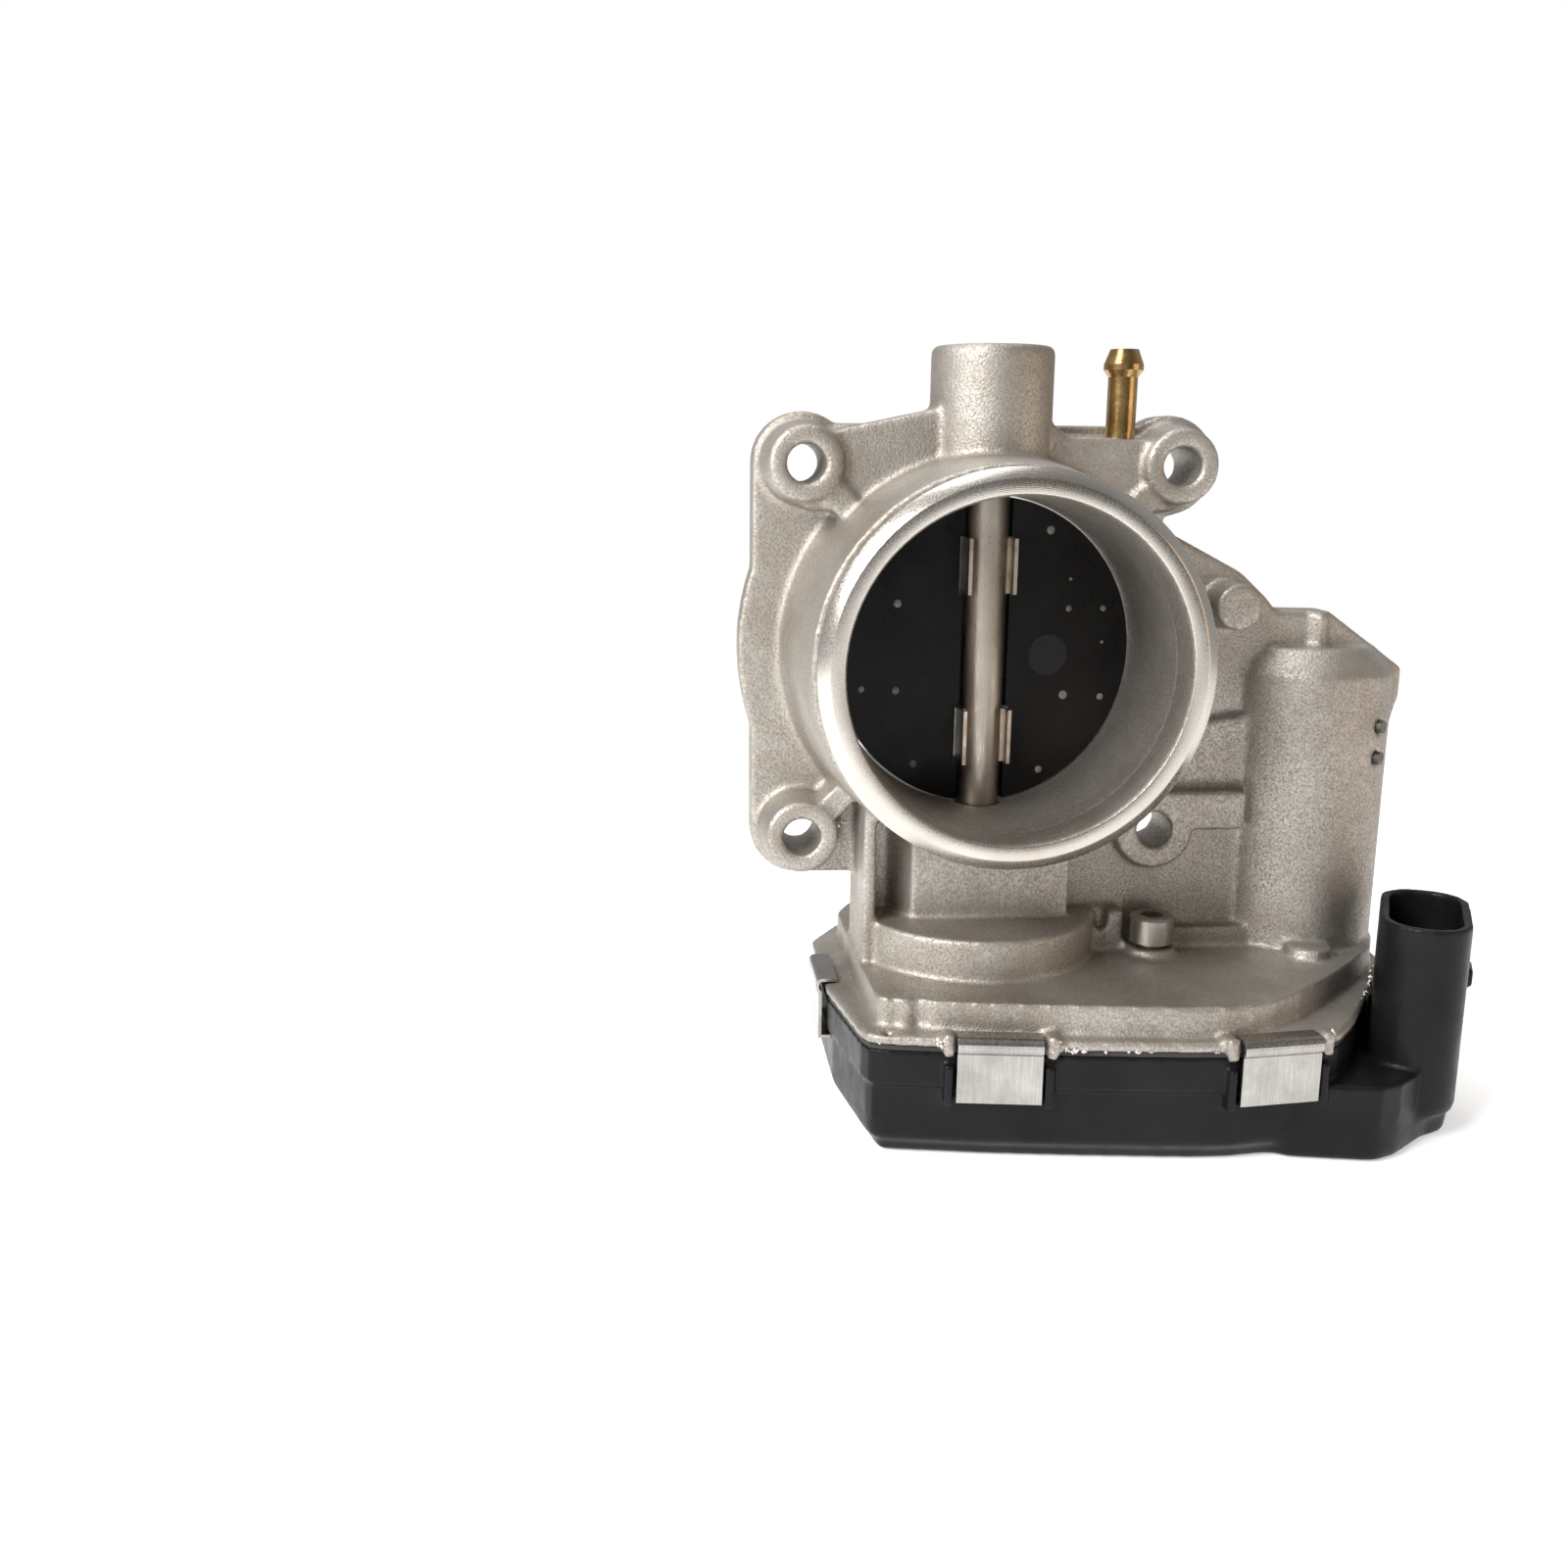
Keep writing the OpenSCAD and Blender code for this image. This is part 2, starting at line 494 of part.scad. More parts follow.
// moving parts --------------------------------------------------------------
module butterfly_frame() { at_shaft() rotate([0, 0, rest_angle]) children(); }
module throttle_shaft() {
  color([0.74, 0.73, 0.71]) butterfly_frame() {
    rod(shaft_r, hub_low - 2.2, upper_high - 0.4);
  }
}
trough_w = shaft_d + 1.1;
clip_z = [-15.6, 15.6];
jaw_w = 10;
module throttle_plate() {
  color([0.06, 0.06, 0.065]) butterfly_frame() difference() {
    union() {
      rotate([90, 0, 0]) translate([0, 0, -plate_t / 2]) cylinder(r = plate_r, h = plate_t, $fn = fine);
      // thick back rib that carries the shaft
      intersection() {
        translate([-trough_w / 2 - 2, -1, -plate_r]) cube([trough_w + 4, shaft_r + 3, 2 * plate_r]);
        rotate([90, 0, 0]) translate([0, 0, -20]) cylinder(r = bore_r - 2.6, h = 40, $fn = fine);
      }
    }
    rod(shaft_r, -plate_r - 1, plate_r + 1);
    translate([-trough_w / 2, -shaft_r - 6, -plate_r - 1]) cube([trough_w, shaft_r + 6, 2 * plate_r + 2]);
    // windows that let the clips pass round the shaft
    for (z = clip_z) translate([-trough_w / 2 - 0.6, -plate_t, z - jaw_w / 2 - 0.2])
      cube([trough_w + 1.2, shaft_r + 3 + plate_t, jaw_w + 0.4]);
  }
}
module plate_clips() {
  color([0.66, 0.6, 0.5]) butterfly_frame() for (z = clip_z) difference() {
    union() {
      rod(shaft_r + 0.6, z - jaw_w / 2, z + jaw_w / 2);
      translate([-shaft_r - 0.6, -shaft_r - 0.6, z - jaw_w / 2]) cube([shaft_d + 1.2, shaft_r + 0.6, jaw_w]);
    }
    rod(shaft_r, -plate_r, plate_r);
    translate([-shaft_r + 0.1, -shaft_r - 2, z - jaw_w]) cube([shaft_d - 0.2, shaft_r, 2 * jaw_w]);
  }
}
hub_low = sector_low - 0.8;
module sector_gear() {
  color([0.86, 0.84, 0.78]) butterfly_sector() difference() {
    union() {
      slab(sector_low, sector_top) intersection() {
        polygon(gear_points(sector_module, sector_n, -rest_angle));
        union() {
          polygon([[0, 0], for (a = [sector_from:8:sector_to]) at(sector_r + 8, a), at(sector_r + 8, sector_to)]);
          circle(r = hub_r + 2, $fn = fine);
        }
      }
      rod(hub_r, hub_low, boss_z - 4, fine);
    }
    rod(shaft_r, hub_low - 1, boss_z, small);
    // lightening pocket between hub and rim
    slab(sector_low - 1, sector_low + 2.6) intersection() {
      difference() { circle(r = sector_r - 5, $fn = fine); circle(r = rotor_r + 1.5, $fn = fine); }
      polygon([[0, 0], for (a = [sector_from + 9:8:sector_to - 9]) at(sector_r + 8, a), at(sector_r + 8, sector_to - 9)]);
    }
    tube(rotor_r, rotor_r - 3.4, sector_low - 1, sector_low + 0.8, fine);
  }
}
rotor_r = hub_r + 4.6;
sector_from = pin_angle - 95;
sector_to = pin_angle + 19;
module butterfly_sector() { butterfly_frame() rotate([0, 0, 0]) children(); }
module sensor_rotor() {
  color([0.7, 0.5, 0.25]) butterfly_sector() tube(rotor_r - 0.01, rotor_r - 3.39, sector_low - 0.4, sector_low + 0.8, fine);
}
module gear_nut() {
  color([0.62, 0.62, 0.64]) butterfly_frame() difference() {
    translate([0, 0, hub_low - 1.8]) cylinder(r = 6.6, h = 1.8, $fn = 6);
    rod(shaft_r, hub_low - 3, hub_low + 1);
  }
}
wire_r = 0.8;
coil_r = spring_r - 3.4;
coil_turns = 3.6;
coil_pitch = 1.75;
coil_steps = 36;
wire_sides = 10;
coil_count = floor(coil_turns * coil_steps);
function coil_at(i) = let (a = i * 360 / coil_steps)
  [coil_r * cos(a), coil_r * sin(a), boss_z - 4.2 - coil_pitch * i / coil_steps];
coil_points = [for (i = [0:coil_count]) let (c = coil_at(i), a = i * 360 / coil_steps)
  for (k = [0:wire_sides - 1]) let (b = k * 360 / wire_sides)
    [c[0] + wire_r * cos(b) * cos(a), c[1] + wire_r * cos(b) * sin(a), c[2] + wire_r * sin(b)]];
function ring_face(i, k) = let (n = (k + 1) % wire_sides)
  [i * wire_sides + k, i * wire_sides + n, (i + 1) * wire_sides + n, (i + 1) * wire_sides + k];
coil_faces = concat([[for (k = [wire_sides - 1:-1:0]) k]],
  [for (i = [0:coil_count - 1]) for (k = [0:wire_sides - 1]) ring_face(i, k)],
  [[for (k = [0:wire_sides - 1]) coil_count * wire_sides + k]]);
module return_spring() {
  color([0.45, 0.45, 0.47]) at_shaft() polyhedron(points = coil_points, faces = coil_faces);
}
small_low = sector_low - 0.4;
module intermediate_gear() {
  color([0.86, 0.84, 0.78]) at_pin() difference() {
    union() {
      slab(big_low, big_top) polygon(gear_points(motor_module, big_n, big_phase));
      slab(small_low, big_low + 0.01) polygon(gear_points(sector_module, small_n, small_phase));
    }
    rod(2.5 + run, small_low - 1, big_top + 1);
    tube(big_r - 3.4, small_r + 4, big_low - 1, big_low + 1.6, fine);
    for (a = [0:60:300]) rotate([0, 0, a]) translate([(big_r + small_r) / 2, 0, 0]) rod(3, big_low - 1, big_top + 1, 32);
  }
}
module motor_shaft() {
  color([0.72, 0.72, 0.74]) at_motor() rod(shaft2_r, pinion_low - 0.4, can_high + 4, 32);
}
pinion_low = big_low - 0.4;
module motor_pinion() {
  color([0.75, 0.62, 0.32]) at_motor() difference() {
    slab(pinion_low, plate_top - plate_end + 0.4 - gap)
      polygon(gear_points(motor_module, pinion_n, pinion_phase));
    rod(shaft2_r, pinion_low - 1, plate_top, 32);
  }
}
rotor_out = can_r - 4.6 - 0.5;
module motor_armature() {
  color([0.5, 0.5, 0.52]) at_motor() difference() {
    rod(rotor_out, magnet_low + 1, magnet_high - 1, fine);
    rod(shaft2_r, magnet_low, magnet_high, 32);
    for (a = [0:36:324]) rotate([0, 0, a]) translate([0, 0, magnet_low]) {
      translate([rotor_out * 0.76, -rotor_out * 0.1, 0]) cube([rotor_out, rotor_out * 0.2, can_len]);
      translate([rotor_out * 0.61, 0, 0]) rod(rotor_out * 0.17, 0, can_len, 24);
    }
  }
}
module motor_windings() {
  color([0.72, 0.4, 0.2]) at_motor() for (z = [magnet_low - 2, magnet_high - 1])
    tube(rotor_out - 1.6, shaft2_r + 1.2, z, z + 3);
}
module motor_commutator() {
  color([0.74, 0.45, 0.25]) at_motor() difference() {
    tube(comm_r, shaft2_r, comm_low, comm_low + 7.2);
    for (a = [18:36:342]) rotate([0, 0, a]) translate([comm_r - 0.6, -0.25, comm_low - 1]) cube([2, 0.5, 12]);
  }
}

// cover, clips and electrics ---------------------------------------------
board_t = 1.6;
module tower_body(g) { oblong(tower_len - 2 * g, tower_wid - 2 * g, 7 - g); }
module gear_cover() {
  color([0.05, 0.05, 0.055]) difference() {
    union() {
      at_shaft() {
        slab(cover_top - 6.5, cover_top) rim_shape(-0.3);
        slab(floor_z + 3, cover_top) rim_shape(-1.3);
        slab(floor_z, cover_top) rim_shape(-3.4);
        // shoulder that carries the connector
        slab(floor_z, tower_foot) polygon(shoulder_points);
        // guide ribs beside the clips
        for (c = front_clips) at_clip(c) for (s = [-1, 1])
          translate([s * (clip_w / 2 + 1.3) - 0.8, -1.1, clip_low - 1.5]) cube([1.6, 4, cover_top - 1.8 - clip_low + 1.5]);
      }
      at_tower() slab(floor_z + 5, tower_top) tower_body(0);
      // lock lug on the connector
      at_tower() translate([-3, -tower_wid / 2 - 1.1, tower_top - 13]) cube([6, 2, 3.4]);
    }
    difference() {
      at_shaft() slab(floor_in, cover_top + 1) rim_shape(-4.4);
      at_pin() rod(4, floor_in - 1, small_low - 0.6);
    }
    at_pin() rod(2.5 + run, floor_in + 0.9, small_low);
    at_tower() {
      slab(socket_floor, tower_top + 1) tower_body(1.6);
      contact_shape();
    }
    clip_slots();
  }
}
shoulder_points = [[pin_x + 11.5, case_front - 2], [pin_x + 13.6, case_front - 4.4], [pin_x + 22, case_front - 6],
  [pin_x + 29, case_front - 7.2], [pin_x + 33.4, case_front - 5.4], [tower_x - 2, tower_y - 10.6],
  [tower_x + 3.4, tower_y - 8], [tower_x + 8.4, tower_y + 0.6], [tower_x + 8.2, tower_y + 7],
  [motor_x + housing_r + 1, motor_y - 8], [motor_x + 2, motor_y - 10]];
socket_floor = tower_top - 17;
pin_pitch = 3.4;
pin_xs = [for (k = [0:5]) (k - 2.5) * pin_pitch];
clip_t = 0.6;
clip_low = cover_top - 7.8;
leg_in = 1.9;
clip_seat = 1.4;                  // thickness of the rim under a clip
clips = concat(front_clips, rear_clips, side_clips);
module clip_slots() {
  at_shaft() for (c = clips) at_clip(c) slot_cut();
}
module slot_cut() {
  translate([-clip_w / 2 - 0.5, -1, clip_low - 0.5]) cube([clip_w + 1, 1 + leg_in + 0.3, clip_t + 0.52]);
}
// one clip about a straight rim, its edge at y = 0, mouth toward +y
module clip_shape() translate([0, -clip_t - 0.05, 0]) {
  translate([-clip_w / 2, 0, clip_low]) cube([clip_w, clip_t, part_z + clip_seat + clip_t + 0.02 - clip_low]);
  translate([-clip_w / 2, 0, part_z + clip_seat + 0.02]) cube([clip_w, 2.8, clip_t]);
  translate([-clip_w / 2, 0, clip_low]) cube([clip_w, leg_in, clip_t]);
}
module cover_clips() {
  color([0.78, 0.78, 0.77]) at_shaft() for (c = clips) at_clip(c) clip_shape();
}
module sensor_board() {
  color([0.12, 0.3, 0.16]) at_shaft() difference() {
    slab(floor_in + 0.02, floor_in + board_t) intersection() {
      rim_shape(-4.8);
      translate([case_left, case_front - 6]) square([case_span, motor_y - case_front - 1]);
    }
    translate([pin_x, pin_y, 0]) rod(4.5, floor_z, floor_in + 5);
  }
}
case_span = motor_x + housing_r - case_left;
// six contacts: an upright blade in the socket and a foot reaching over the board
module contact_shape() {
  for (x = pin_xs) translate([x - 0.4, -0.4, contact_low]) {
    cube([0.8, 0.8, socket_floor + 9 - contact_low]);
    cube([0.8, 14, 0.8]);
  }
}
contact_low = floor_in + board_t;
module contact_pins() {
  color([0.8, 0.66, 0.35]) at_tower() contact_shape();
}

throttle_housing();
upper_bearing();
lower_bearing();
upper_plug();
shaft_seal();
hose_nipple();
motor_can();
motor_magnets();
motor_end_plate();
motor_brushes();
motor_terminals();
motor_screws();
cap_screw();
side_pins();
intermediate_pin();
cover_gasket();
gear_cover();
cover_clips();
sensor_board();
contact_pins();
throttle_shaft();
throttle_plate();
plate_clips();
sector_gear();
sensor_rotor();
gear_nut();
return_spring();
intermediate_gear();
motor_shaft();
motor_pinion();
motor_armature();
motor_windings();
motor_commutator();
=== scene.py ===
import math
import random
import bpy
import bmesh
from mathutils import Matrix, Vector


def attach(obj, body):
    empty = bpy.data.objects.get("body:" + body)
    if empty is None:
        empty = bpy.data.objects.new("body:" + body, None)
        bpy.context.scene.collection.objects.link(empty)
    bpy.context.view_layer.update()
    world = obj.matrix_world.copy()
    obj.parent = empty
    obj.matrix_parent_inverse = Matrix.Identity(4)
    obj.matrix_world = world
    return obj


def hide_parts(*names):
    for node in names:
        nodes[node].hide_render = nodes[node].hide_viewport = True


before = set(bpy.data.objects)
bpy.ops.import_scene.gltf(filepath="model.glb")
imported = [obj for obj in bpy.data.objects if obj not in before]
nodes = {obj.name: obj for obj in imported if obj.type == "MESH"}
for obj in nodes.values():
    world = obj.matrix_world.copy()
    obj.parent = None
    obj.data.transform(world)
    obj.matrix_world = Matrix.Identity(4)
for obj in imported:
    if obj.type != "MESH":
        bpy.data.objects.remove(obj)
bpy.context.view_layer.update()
mm = 0.001
shaftY = -9 * mm
restTurn = math.radians(7)
print("frame loaded")


# the camera: place in millimetres, turns in degrees
cameraView = {"place": (-59.85, -282.87, 35.56), "yaw": 4.89, "pitch": 12.42, "roll": 0.57,
              "lens": 34.69, "sensor": 36.0}


def addCamera(v):
    yaw, pitch, roll = (math.radians(v[k]) for k in ("yaw", "pitch", "roll"))
    ahead = Vector((math.sin(yaw) * math.cos(pitch), math.cos(yaw) * math.cos(pitch), -math.sin(pitch)))
    level = Vector((math.cos(yaw), -math.sin(yaw), 0))
    above = level.cross(ahead)
    right = math.cos(roll) * level + math.sin(roll) * above
    up = -math.sin(roll) * level + math.cos(roll) * above
    data = bpy.data.cameras.new("camera")
    data.sensor_width = v["sensor"]
    data.lens = v["lens"]
    data.clip_start = 0.01
    data.dof.use_dof = False
    ob = bpy.data.objects.new("camera", data)
    turn = Matrix((right, up, -ahead)).transposed().to_4x4()
    turn.translation = Vector(v["place"]) * mm
    ob.matrix_world = turn
    bpy.context.scene.collection.objects.link(ob)
    bpy.context.scene.camera = ob


addCamera(cameraView)


# small helpers that build a material's nodes
def startMaterial(name):
    mat = bpy.data.materials.new(name)
    mat.use_nodes = True
    tree = mat.node_tree
    shader = next(n for n in tree.nodes if n.type == "BSDF_PRINCIPLED")
    coord = tree.nodes.new("ShaderNodeTexCoord")
    return mat, tree, shader, coord.outputs["Object"]


def noise(tree, coord, size, detail=3.0, rough=0.55, stretch=(1, 1, 1)):
    # size is the width of one blotch in millimetres
    place = tree.nodes.new("ShaderNodeMapping")
    place.inputs["Scale"].default_value = stretch
    tex = tree.nodes.new("ShaderNodeTexNoise")
    tex.inputs["Scale"].default_value = 1 / (size * mm)
    tex.inputs["Detail"].default_value = detail
    tex.inputs["Roughness"].default_value = rough
    tree.links.new(coord, place.inputs["Vector"])
    tree.links.new(place.outputs["Vector"], tex.inputs["Vector"])
    return tex.outputs["Fac"]


def spread(tree, value, low, high, outLow, outHigh):
    node = tree.nodes.new("ShaderNodeMapRange")
    for key, num in (("From Min", low), ("From Max", high), ("To Min", outLow), ("To Max", outHigh)):
        node.inputs[key].default_value = num
    tree.links.new(value, node.inputs["Value"])
    return node.outputs["Result"]


def mixColor(tree, fac, one, two):
    node = tree.nodes.new("ShaderNodeMix")
    node.data_type = "RGBA"
    tree.links.new(fac, node.inputs[0])
    for sock, val in ((node.inputs[6], one), (node.inputs[7], two)):
        if isinstance(val, tuple):
            sock.default_value = (*val, 1)
        else:
            tree.links.new(val, sock)
    return node.outputs[2]


def bumps(tree, shader, *layers):
    # each layer is a height, a strength and a depth in millimetres
    before = None
    for height, strength, depth in layers:
        node = tree.nodes.new("ShaderNodeBump")
        node.inputs["Strength"].default_value = strength
        node.inputs["Distance"].default_value = depth * mm
        tree.links.new(height, node.inputs["Height"])
        if before:
            tree.links.new(before, node.inputs["Normal"])
        before = node.outputs["Normal"]
    tree.links.new(before, shader.inputs["Normal"])


def axisPart(tree, coord, axis):
    split = tree.nodes.new("ShaderNodeSeparateXYZ")
    tree.links.new(coord, split.inputs["Vector"])
    return split.outputs[axis]


def rings(tree, coord, width, axis, distortion=0.6):
    # turning marks about the given axis, width in millimetres
    tex = tree.nodes.new("ShaderNodeTexWave")
    tex.wave_type = "RINGS"
    tex.rings_direction = axis
    tex.inputs["Scale"].default_value = 0.31 / (width * mm)
    tex.inputs["Distortion"].default_value = distortion
    tex.inputs["Detail"].default_value = 2.0
    tree.links.new(coord, tex.inputs["Vector"])
    return tex.outputs["Fac"]


# what a finish uses where it says nothing else; sizes in millimetres
metalUsual = {"metallic": 1.0, "blotch": 9, "blotchBand": (0.35, 0.68), "grain": 0.4, "stretch": (1, 1, 1),
              "speck": 0.35, "speckBand": (0.3, 0.72), "roughBand": (0.3, 0.7), "bump": 0.3, "depth": 0.1,
              "turnBump": 0.15, "turnDepth": 0.02, "pitBump": 0.25, "pitDepth": 0.3}
plasticUsual = {"gloss": 0.5, "blotch": 14, "band": (0.3, 0.7), "grain": 0.35, "wear": 4, "bump": 0.2,
                "depth": 0.05, "sink": 6, "sinkBump": 0.08, "sinkDepth": 0.3}


def metalFinish(name, look):
    mat, tree, shader, coord = startMaterial(name)
    look = {**metalUsual, **look}
    shader.inputs["Metallic"].default_value = look["metallic"]
    blotch = spread(tree, noise(tree, coord, look["blotch"], 4, 0.6), *look["blotchBand"], 0, 1)
    tint = mixColor(tree, blotch, look["color"], look["stain"])
    grain = noise(tree, coord, look["grain"], 2, 0.6, look["stretch"])
    speck = spread(tree, grain, *look["speckBand"], 0, look["speck"])
    tree.links.new(mixColor(tree, speck, tint, look["dark"]), shader.inputs["Base Color"])
    tree.links.new(spread(tree, grain, *look["roughBand"], *look["rough"]), shader.inputs["Roughness"])
    layers = [(grain, look["bump"], look["depth"])]
    if "turned" in look:
        layers.append((rings(tree, coord, *look["turned"]), look["turnBump"], look["turnDepth"]))
    if "pit" in look:
        layers.append((noise(tree, coord, look["pit"], 3, 0.5), look["pitBump"], look["pitDepth"]))
    bumps(tree, shader, *layers)
    return mat


def plasticFinish(name, look):
    mat, tree, shader, coord = startMaterial(name)
    look = {**plasticUsual, **look}
    shader.inputs["Specular IOR Level"].default_value = look["gloss"]
    cloud = spread(tree, noise(tree, coord, look["blotch"], 4, 0.6), *look["band"], 0, 1)
    tree.links.new(mixColor(tree, cloud, look["color"], look["stain"]), shader.inputs["Base Color"])
    grain = noise(tree, coord, look["grain"], 2, 0.5)
    wear = noise(tree, coord, look["wear"], 4, 0.65)
    tree.links.new(spread(tree, wear, *look["band"], *look["rough"]), shader.inputs["Roughness"])
    bumps(tree, shader, (grain, look["bump"], look["depth"]),
          (noise(tree, coord, look["sink"], 2, 0.5), look["sinkBump"], look["sinkDepth"]))
    return mat


finishes = {
    "castAluminium": {"kind": "metal", "color": (0.56, 0.54, 0.505), "stain": (0.41, 0.375, 0.33),
                      "dark": (0.19, 0.16, 0.135), "speck": 0.6, "grain": 0.42, "blotch": 16,
                      "rough": (0.46, 0.70), "bump": 0.8, "depth": 0.14, "pit": 2.4},
    "brightFlash": {"kind": "metal", "color": (0.80, 0.78, 0.74), "stain": (0.62, 0.59, 0.55),
                    "dark": (0.45, 0.42, 0.38), "speck": 0.3, "grain": 0.3, "blotch": 3, "rough": (0.3, 0.5)},
    "machinedAluminium": {"kind": "metal", "color": (0.64, 0.615, 0.58), "stain": (0.52, 0.48, 0.43),
                          "dark": (0.42, 0.38, 0.33), "speck": 0.2, "grain": 0.3, "blotch": 20,
                          "rough": (0.2, 0.34), "bump": 0.12, "depth": 0.03, "turned": (0.28, "Y"),
                          "turnBump": 0.25},
    "satinShaft": {"kind": "metal", "color": (0.50, 0.46, 0.41), "stain": (0.40, 0.35, 0.30),
                   "dark": (0.36, 0.31, 0.27), "speck": 0.3, "grain": 0.25, "stretch": (1, 1, 0.08),
                   "rough": (0.26, 0.42), "bump": 0.16, "depth": 0.03, "turned": (0.2, "Z"), "turnBump": 0.1},
    "stainlessClip": {"kind": "metal", "color": (0.46, 0.45, 0.435), "stain": (0.34, 0.325, 0.31),
                      "dark": (0.22, 0.21, 0.20), "speck": 0.3, "grain": 0.3, "stretch": (1, 1, 0.05),
                      "blotch": 7, "rough": (0.2, 0.36), "bump": 0.14, "depth": 0.03},
    "springPlateClip": {"kind": "metal", "color": (0.66, 0.60, 0.53), "stain": (0.46, 0.38, 0.31),
                        "dark": (0.26, 0.19, 0.14), "speck": 0.4, "grain": 0.3, "stretch": (1, 1, 0.1),
                        "blotch": 5, "rough": (0.24, 0.4), "bump": 0.14, "depth": 0.03},
    "turnedBrass": {"kind": "metal", "color": (0.62, 0.42, 0.18), "stain": (0.36, 0.22, 0.08),
                    "dark": (0.22, 0.13, 0.05), "speck": 0.25, "grain": 0.3, "stretch": (1, 1, 0.3),
                    "blotch": 5, "rough": (0.16, 0.3), "bump": 0.05, "depth": 0.02},
    "platedSteel": {"kind": "metal", "color": (0.58, 0.56, 0.53), "stain": (0.42, 0.40, 0.37),
                    "dark": (0.20, 0.18, 0.16), "speck": 0.4, "grain": 0.3, "blotch": 4, "rough": (0.3, 0.48),
                    "bump": 0.25, "depth": 0.06},
    "darkPin": {"kind": "metal", "color": (0.20, 0.19, 0.17), "stain": (0.12, 0.11, 0.10),
                "dark": (0.05, 0.045, 0.04), "speck": 0.5, "grain": 0.3, "blotch": 2, "rough": (0.4, 0.6)},
    "copperWire": {"kind": "metal", "color": (0.70, 0.34, 0.16), "stain": (0.52, 0.22, 0.10),
                   "dark": (0.25, 0.10, 0.05), "grain": 0.5, "blotch": 3, "rough": (0.25, 0.45)},
    "sinteredIron": {"kind": "metal", "metallic": 0.6, "color": (0.16, 0.16, 0.17),
                     "stain": (0.10, 0.10, 0.11), "dark": (0.04, 0.04, 0.04), "grain": 0.5, "blotch": 4, "rough": (0.45, 0.65)},
    "blackCover": {"kind": "plastic", "color": (0.005, 0.005, 0.0055), "stain": (0.010, 0.010, 0.0105),
                   "rough": (0.30, 0.46), "gloss": 0.16, "grain": 0.4, "bump": 0.3, "depth": 0.05},
    "coatedPlate": {"kind": "plastic", "color": (0.003, 0.003, 0.0035), "stain": (0.008, 0.008, 0.0085),
                    "rough": (0.24, 0.42), "gloss": 0.16, "grain": 0.5, "depth": 0.04, "wear": 7},
    "blackRubber": {"kind": "plastic", "color": (0.018, 0.018, 0.018), "stain": (0.03, 0.03, 0.03),
                    "rough": (0.6, 0.8), "grain": 0.3, "bump": 0.3},
    "gearPolymer": {"kind": "plastic", "color": (0.70, 0.67, 0.58), "stain": (0.60, 0.56, 0.47),
                    "rough": (0.35, 0.5), "grain": 0.4},
    "boardLacquer": {"kind": "plastic", "color": (0.02, 0.13, 0.05), "stain": (0.015, 0.09, 0.035),
                     "rough": (0.25, 0.4), "grain": 0.6},
    "darkMoulding": {"kind": "plastic", "color": (0.05, 0.05, 0.052), "stain": (0.035, 0.035, 0.037),
                     "rough": (0.4, 0.55), "grain": 0.4},
    "markPlastic": {"kind": "plastic", "color": (0.011, 0.011, 0.012), "stain": (0.018, 0.018, 0.019),
                    "rough": (0.45, 0.6), "gloss": 0.25, "grain": 0.5},
    "moulderMark": {"kind": "plastic", "color": (0.20, 0.19, 0.17), "stain": (0.11, 0.105, 0.10),
                    "rough": (0.22, 0.38), "grain": 0.3},
}
makers = {"metal": metalFinish, "plastic": plasticFinish}
made = {name: makers[look["kind"]](name, look) for name, look in finishes.items()}
nodeFinish = {
    "throttle_housing": "castAluminium", "upper_bearing": "platedSteel", "lower_bearing": "platedSteel",
    "upper_plug": "platedSteel", "shaft_seal": "blackRubber", "hose_nipple": "turnedBrass",
    "motor_can": "platedSteel", "motor_magnets": "sinteredIron", "motor_end_plate": "darkMoulding",
    "motor_brushes": "sinteredIron", "motor_terminals": "turnedBrass", "motor_screws": "platedSteel",
    "cap_screw": "platedSteel", "side_pins": "darkPin", "intermediate_pin": "satinShaft",
    "cover_gasket": "blackRubber", "gear_cover": "blackCover", "cover_clips": "stainlessClip",
    "sensor_board": "boardLacquer", "contact_pins": "turnedBrass", "throttle_shaft": "satinShaft",
    "throttle_plate": "coatedPlate", "plate_clips": "springPlateClip", "sector_gear": "gearPolymer",
    "sensor_rotor": "copperWire", "gear_nut": "platedSteel", "return_spring": "platedSteel",
    "intermediate_gear": "gearPolymer", "motor_shaft": "satinShaft", "motor_pinion": "turnedBrass",
    "motor_armature": "platedSteel", "motor_windings": "copperWire", "motor_commutator": "copperWire"}


def dress(ob, finish):
    ob.data.materials.clear()
    ob.data.materials.append(made[finish])


for name, ob in nodes.items():
    dress(ob, nodeFinish[name])
print("materials made")


# helpers that make a piece and tell the frame about it
def link(name, bm, body, finish, smooth=True):
    mesh = bpy.data.meshes.new(name)
    bmesh.ops.recalc_face_normals(bm, faces=bm.faces)
    bm.to_mesh(mesh)
    bm.free()
    ob = bpy.data.objects.new(name, mesh)
    bpy.context.scene.collection.objects.link(ob)
    if smooth:
        mesh.polygons.foreach_set("use_smooth", [True] * len(mesh.polygons))
    dress(ob, finish)
    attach(ob, body)
    return ob


def settled(ob):
    # the modifiers' result becomes the mesh
    deps = bpy.context.evaluated_depsgraph_get()
    deps.update()
    mesh = bpy.data.meshes.new_from_object(ob.evaluated_get(deps))
    ob.modifiers.clear()
    ob.data = mesh
    mesh.polygons.foreach_set("use_smooth", [True] * len(mesh.polygons))
    return ob


roomLook = {"depth": 20, "sides": 128, "merge": 0.002}


